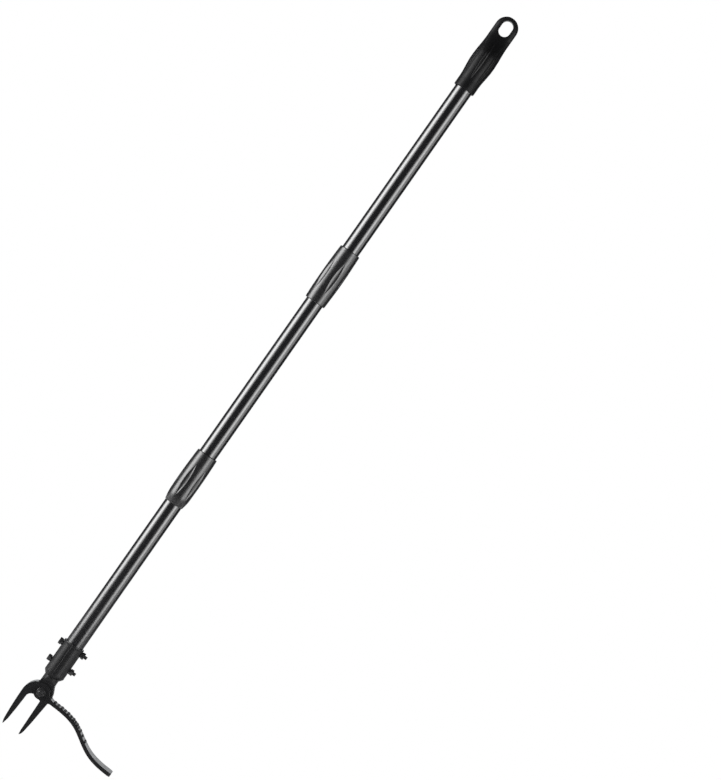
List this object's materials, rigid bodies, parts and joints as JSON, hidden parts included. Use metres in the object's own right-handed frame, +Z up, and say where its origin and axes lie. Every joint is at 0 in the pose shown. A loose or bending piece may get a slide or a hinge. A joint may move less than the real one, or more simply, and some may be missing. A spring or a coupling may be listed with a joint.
{
  "type": "stand-up weed puller",
  "caption": "Long sectional pole with a hanging grip, screw couplers and a bolted claw head whose pivoting foot lever closes its hooks on a root.",
  "frame": {"origin": "centre of the hanging hole through the grip", "axes": "+Z up the pole, claws down; +X towards the foot lever; +Y along the hanging hole and the lever's pivot, away from the viewer"},
  "size_m": [0.1585, 0.036, 1.1342],
  "materials": {
    "grip_plastic": "matte moulded plastic",
    "coupler_plastic": "satin moulded plastic",
    "insert_plastic": "satin moulded plastic",
    "pole_paint": "gloss black powder coat on steel tube",
    "head_paint": "satin black paint on stamped steel",
    "fastener_steel": "black oxide",
    "spacer_steel": "turned, zinc plated"
  },
  "bodies": {
    "upper_section": {"grip": "grip_plastic", "upper_pole": "pole_paint", "upper_coupler": "coupler_plastic", "upper_thread_socket": "insert_plastic"},
    "middle_section": {"upper_thread_plug": "insert_plastic", "middle_pole": "pole_paint", "lower_coupler": "coupler_plastic", "lower_thread_socket": "insert_plastic"},
    "lower_section": {"lower_thread_plug": "insert_plastic", "lower_pole": "pole_paint", "head_socket": "head_paint", "neck_block": "head_paint", "near_fork_plate": "head_paint", "far_fork_plate": "head_paint", "socket_bolts": "fastener_steel", "socket_washers": "fastener_steel", "socket_nuts": "fastener_steel", "pivot_bolt": "fastener_steel", "pivot_head_washer": "fastener_steel", "pivot_nut_washer": "fastener_steel", "pivot_lock_nut": "fastener_steel", "pivot_spacer": "spacer_steel"},
    "foot_lever": {"foot_lever": "head_paint"}
  },
  "joints": [
    {"name": "upper_joint_pull", "type": "slide", "parent": "upper_section", "child": "middle_section", "axis": [0, 0, -1], "range_m": [0, 0.05]},
    {"name": "lower_joint_pull", "type": "slide", "parent": "middle_section", "child": "lower_section", "axis": [0, 0, -1], "range_m": [0, 0.05]},
    {"name": "lever_pivot", "type": "hinge", "parent": "lower_section", "child": "foot_lever", "pos_m": [0, 0, -1.0555], "axis": [0, -1, 0], "range_deg": [0, 24]}
  ]
}
